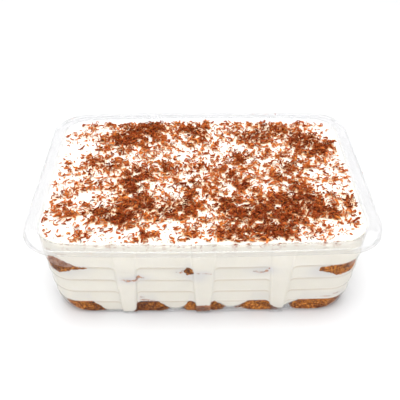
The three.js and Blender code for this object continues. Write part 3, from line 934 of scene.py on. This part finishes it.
BARE_PATCHES = [
    (-8, 22, 5, 0.35), (12, 25, 6, 0.4), (-19, -14, 6, 0.4), (64, -11, 5, 0.3), (-44, -49, 9, 0.5),
    (-15, -47, 5, 0.5), (72, -51, 8, 0.8), (-78, 20, 7, 0.8), (-60, -17, 5, 0.7), (-71, -42, 9, 0.5),
    (78, 16, 6, 0.8), (22, 27, 5, 0.6), (-68, 28, 8, 0.5), (-76, 48, 6, 0.8), (77, 41, 8, 0.8),
    (-76, -2, 5, 0.3), (78, -12, 5, 0.4), (34, -14, 5, 0.7), (-68, 12, 4, 0.5), (-57, 46, 5, 0.4),
    (58, 1, 5, 0.4), (-22, -42, 4, 0.4), (-45, 18, 4, 0.4),
]
THIN_COVER = 0.52  # how thick they lie away from both,
LEAST_COVER = 0.1
MOST_COVER = 1.3
FIELD = (82, 58)  # half the width and depth in which places are drawn
EDGE_MARGIN = 1.7  # between the wall's outer face and the middle of a shaving
PILE_CELL = 0.7
PILE_CELLS = (260, 180)
PILE_CORNER = (91, 63)  # how far left of the middle and in front of it the first cell lies
PILE_HIGHEST = 1.3
PILE_GROWTH = 0.5  # the share of a shaving's thickness that counts for the next ones
HIGHEST_SHARE = 0.55  # how much the highest cell under a shaving counts against the mean
SUNK = 0.15  # how deep the lowest shavings lie in the cream
SHAVINGS_TOP = BOX_HEIGHT + 1.2
DUST_AND_SHADE_FULL = 0.95  # the share of the highest pile at which the cream beneath is all brown with dust and painted shade

# Each kind of strip: how many, then the smallest and largest length, width, thickness and curl
# radius, and the sections
KINDS = {
    "shaving_curls": (1950, (2.8, 6.4), (0.6, 1.35), (0.25, 0.42), (0.75, 2.0), 8),
    "shaving_flakes": (3500, (1.4, 3.4), (0.5, 1.25), (0.22, 0.4), (0.8, 3.2), 5),
    "shaving_bits": (4800, (0.6, 1.5), (0.35, 0.75), (0.2, 0.4), (0.8, 3.0), 2),
}
ON_EDGE = 0.58  # the share of the shavings that stand on edge,
TILT_ON_EDGE = (0.9, 1.7)  # and how far they tip over
TILT_FLAT = (-0.5, 0.5)
TWIST = 0.18
LEAN = 0.22
TAPER = 0.6  # how much of its width and thickness a strip loses towards its ends
UNEVEN_SIDES = (0.75, 1.2)  # how its half width varies

# The tone of a shaving: its mean and spread, the painted shade that makes the lowest ones of a
# thick heap and all of it darker, and the painted glow that makes the thin edges and the ends paler
TONE, TONE_SPREAD = 0.54, 0.2
HEAP_COVER, HEAP_FADE = 0.65, 0.5
HEAP_DEPTHS_SHADE, HEAP_SHADE = 0.4, 0.04
ACROSS_GLOW_TONES, ACROSS_GLOW_STRENGTHS = [0.3, -0.06, 0.3, -0.06], (0.2, 1.6)
ENDS_GLOW = 0.25


def cover(x, y):
    """How thick the shavings lie at a place."""
    def spread(patches):
        return sum(w * bell(np.hypot(x - px, y - py) / size) for px, py, size, w in patches)

    return np.clip(THIN_COVER + spread(DRIFTS) - spread(BARE_PATCHES), LEAST_COVER, MOST_COVER)


def scatter(count, draw):
    """Places on the cream, more of them where the cover is thick."""
    places = np.empty((0, 2))
    while len(places) < count:
        x, y = [draw.uniform(-half, half, count * 4) for half in FIELD]
        room = inside_wall(np.stack([x, y, np.full(len(x), CREAM_TOP)], 1))
        kept = (room > EDGE_MARGIN) & (draw.random(len(x)) * MOST_COVER < cover(x, y))
        places = np.concatenate([places, np.stack([x, y], 1)[kept]])
    return places[:count]


class Pile:
    """How high the shavings lie already, in small square cells."""

    def __init__(self):
        self.cells = np.zeros(PILE_CELLS)

    def cell_at(self, *place):
        """The cells that places lie in, kept off the border."""
        return [
            np.clip((along + corner) / PILE_CELL, 1, cells - 2).astype(int)
            for along, corner, cells in zip(place, PILE_CORNER, PILE_CELLS)
        ]

    def dust_and_shade(self, x, y):
        """How much chocolate lies about at places, from 0 to 1, which sets the dust and the painted
        shade on the cream beneath.
        """
        i, j = self.cell_at(x, y)
        near = sum(self.cells[i + a, j + b] for a in (-1, 0, 1) for b in (-1, 0, 1)) / 9
        return smooth(near / PILE_HIGHEST / DUST_AND_SHADE_FULL)

    def rest(self, x, y, reach, thickness):
        """The height that a shaving rests at. It then counts for the next ones."""
        i, j = self.cell_at(x, y)
        span = max(1, round(reach / PILE_CELL))
        area = self.cells[i - span : i + span + 1, j - span : j + span + 1]
        height = HIGHEST_SHARE * area.max() + (1 - HIGHEST_SHARE) * area.mean()
        area += thickness * PILE_GROWTH
        np.minimum(area, PILE_HIGHEST, out=area)
        return min(height, PILE_HIGHEST)


def turned(axis, angle):
    """A matrix that turns row vectors about an axis."""
    c, s = math.cos(angle), math.sin(angle)
    matrix = np.eye(3)
    i, j = (axis + 1) % 3, (axis + 2) % 3
    matrix[i, i] = matrix[j, j] = c
    matrix[i, j], matrix[j, i] = s, -s
    return matrix


def strip_points(length, width, thickness, radius, tilt, twist, sections, draw):
    """The points of one curled strip round its own middle, four to a section, of which the first
    and third lie on its thin edges."""
    along = np.linspace(-0.5, 0.5, sections + 1) * length
    turn = along / radius
    path = np.stack([radius * np.sin(turn), twist * along, radius * (np.cos(turn) - 1)], 1)
    outward = np.stack([np.sin(turn), 0 * turn, np.cos(turn)], 1)
    taper = 1 - TAPER * np.abs(along / length * 2) ** 3
    wide = width / 2 * taper * draw.uniform(*UNEVEN_SIDES, (2, sections + 1))
    edge, face = wide[:, :, None] * [0, 1, 0], (thickness / 2 * taper)[:, None] * outward
    corners = [path - edge[0], path - face, path + edge[1], path + face]
    return np.stack(corners, 1).reshape(-1, 3) @ turned(0, tilt)


def strip_faces(sections):
    """The faces of one strip, as four numbers of its points each."""
    faces = [(0, 1, 2, 3)]
    for k in range(0, sections * 4, 4):
        for i in range(4):
            j = (i + 1) % 4
            faces.append((k + i, k + 4 + i, k + 4 + j, k + j))
    last = sections * 4
    faces.append((last + 3, last + 2, last + 1, last))
    return np.array(faces)


def shaving_tones(x, y, height, sections, draw):
    """How pale each point of a shaving is: its own tone, painted shade in thick heaps and a painted
    glow at its thin edges and ends.
    """
    # Painted shade on the lower shavings of thick heaps, and a little on thick heaps as a whole
    thick = smooth((cover(x, y) - HEAP_COVER) / HEAP_FADE)
    depth = 1 - height / PILE_HIGHEST
    own = draw.normal(TONE, TONE_SPREAD) - HEAP_DEPTHS_SHADE * thick * depth - HEAP_SHADE * thick
    # Painted glow of light through the thin edges and the tapered ends
    across = np.tile(ACROSS_GLOW_TONES, sections + 1) * draw.uniform(*ACROSS_GLOW_STRENGTHS)
    ends = np.repeat(np.abs(np.linspace(-1, 1, sections + 1)) ** 3, 4)
    return np.clip(np.clip(own, 0, 1) + across + ENDS_GLOW * ends * draw.random(), 0, 1)


def join_copies(name, copies, tone, faces, material):
    """One piece of many chocolate shapes alike in faces. tone is one number or one a point."""
    points = np.concatenate(copies)
    starts = np.arange(len(copies)) * len(copies[0])
    joined = (faces[None] + starts[:, None, None]).reshape(-1, faces.shape[1]).tolist()
    values = {"tone": np.full(len(points), tone)}
    make_piece(name, points, joined, material, values=values)


def build_shavings(material):
    """The loose strips of chocolate on the cream. Returns the pile that they make."""
    draw = np.random.default_rng(SEED)
    pile = Pile()
    for name, (count, lengths, widths, thicknesses, radii, sections) in KINDS.items():
        strips, tones = [], []
        for x, y in scatter(count, draw):
            length, width = draw.uniform(*lengths), draw.uniform(*widths)
            thickness, radius = draw.uniform(*thicknesses), draw.uniform(*radii)
            on_edge = draw.random() < ON_EDGE
            tilt = draw.uniform(*(TILT_ON_EDGE if on_edge else TILT_FLAT)) * draw.choice([-1, 1])
            twist = draw.normal(0, TWIST)
            strip = strip_points(length, width, thickness, radius, tilt, twist, sections, draw)
            strip = strip @ turned(1, draw.normal(0, LEAN)) @ turned(2, draw.uniform(0, 2 * math.pi))
            height = pile.rest(x, y, length / 4, thickness)
            ground = top_height(x, y) + height - SUNK * (1 - height / PILE_HIGHEST)
            lift = min(ground - strip[:, 2].min(), SHAVINGS_TOP - strip[:, 2].max())
            strips.append(strip + [x, y, lift])
            tones.append(shaving_tones(x, y, height, sections, draw))
        join_copies(name, strips, np.concatenate(tones), strip_faces(sections), material)
    return pile


# ---- Crumbs on the flange, and flakes pressed against the front wall ----
CRUMBS = [[32, 58.7, 0.5], [45.4, 58.5, 0.7], [85.2, -2.4, 0.5]]  # as [x, y, size]
CRUMB_CORNERS = np.array([[1, 1, 1], [1, -1, -1], [-1, 1, -1], [-1, -1, 1]])
CRUMB_FACES = np.array([[0, 2, 1], [0, 1, 3], [0, 3, 2], [1, 2, 3]])
CRUMB_STRETCH = (0.7, 1.2)
CRUMB_SUNK = 0.02
CRUMB_TONE = 0.45
WALL_FLAKES = 46
FLAKE_SPAN = 66  # how far to each side of the middle they lie,
FLAKE_RISE = 0.4  # how far above the cream's edge,
FLAKE_DROP = 2.2  # and how far down from there
FLAKE_LENGTHS, FLAKE_WIDTHS = (0.8, 2.6), (0.35, 0.8)
FLAKE_FORM = (0.2, 5, math.pi / 2, 0, 3)  # thickness, curl radius, tilt, twist, sections
FLAKE_LEAN = 0.5
FLAKE_SQUASH = 0.3  # how much of their thickness and curl the wall leaves
FLAKE_STAND = 0.08  # how far they stand out of the cream's side
FLAKE_TONE = 0.5


def build_crumbs(material):
    """Small uneven four-cornered crumbs on the flange."""
    draw = np.random.default_rng(SEED + 1)
    crumbs = []
    for x, y, size in CRUMBS:
        crumb = CRUMB_CORNERS * size / 2 * draw.uniform(*CRUMB_STRETCH, CRUMB_CORNERS.shape)
        crumb[:, 2] -= crumb[:, 2].min()
        crumbs.append(crumb + [x, y, BOX_HEIGHT - CRUMB_SUNK])
    join_copies("chocolate_crumbs", crumbs, CRUMB_TONE, CRUMB_FACES, material)


def build_wall_flakes(material):
    """Flakes between the cream's upper edge and the front wall, flat against the wall."""
    draw = np.random.default_rng(SEED + 2)
    strips = []
    for x in np.sort(draw.uniform(-FLAKE_SPAN, FLAKE_SPAN, WALL_FLAKES)):
        length, width = draw.uniform(*FLAKE_LENGTHS), draw.uniform(*FLAKE_WIDTHS)
        strip = strip_points(length, width, *FLAKE_FORM, draw)
        strip = strip @ turned(1, draw.normal(0, FLAKE_LEAN))
        z = CREAM_EDGE + FRONT_RISE + FLAKE_RISE - FLAKE_DROP * draw.random() ** 1.7
        y = -wall_face(np.array([x]), np.array([z]))[0] + CREAM_PRESS - FLAKE_STAND
        strip[:, 1] *= FLAKE_SQUASH
        strips.append(strip - strip.mean(0) + [x, y, z])
    join_copies("shavings_at_wall", strips, FLAKE_TONE, strip_faces(FLAKE_FORM[-1]), material)


# ---- The floor, the light and the camera ----
def build_floor():
    half = 3  # metres
    corners = [(-half, -half, 0), (half, -half, 0), (half, half, 0), (-half, half, 0)]
    mesh = bpy.data.meshes.new("floor")
    mesh.from_pydata(corners, [], [(0, 1, 2, 3)])
    mesh.materials.append(floor_material())
    floor = add_object("floor", mesh)


def add_lamp(name, place, width, depth, power):
    """A flat lamp, places and sizes in metres, that faces the object."""
    data = bpy.data.lights.new(name, "AREA")
    data.shape = "RECTANGLE"
    data.size = width
    data.size_y = depth
    data.energy = power
    lamp = add_object(name, data)
    lamp.location = place
    lamp.rotation_euler = (-Vector(place)).to_track_quat("-Z", "Y").to_euler()


def light_scene():
    world = bpy.data.worlds.new("studio")
    world.use_nodes = True
    tree = world.node_tree
    set_inputs(tree, tree.nodes["Background"], {"Color": (0.985, 0.99, 1), "Strength": 0.85})
    bpy.context.scene.world = world
    add_lamp("overhead", (-0.03, -0.08, 1.1), 0.9, 0.9, 14.3)
    add_lamp("front", (0.1, -1.2, 0.35), 1.6, 0.5, 0.8)
    bpy.context.scene.view_settings.view_transform = "Standard"


def add_camera():
    data = bpy.data.cameras.new("camera")
    data.sensor_width = 36
    data.lens = 54
    camera = add_object("camera", data)
    camera.location = (-0.0044, -0.2584, 0.2412)
    camera.rotation_euler = (math.radians(51.3), 0, math.radians(-0.76))
    bpy.context.scene.camera = camera


add_camera()
light_scene()
build_floor()
build_container()
chocolate = chocolate_material()
build_cream(build_shavings(chocolate))
build_crumbs(chocolate)
build_wall_flakes(chocolate)
build_fingers()

bpy.context.view_layer.update()
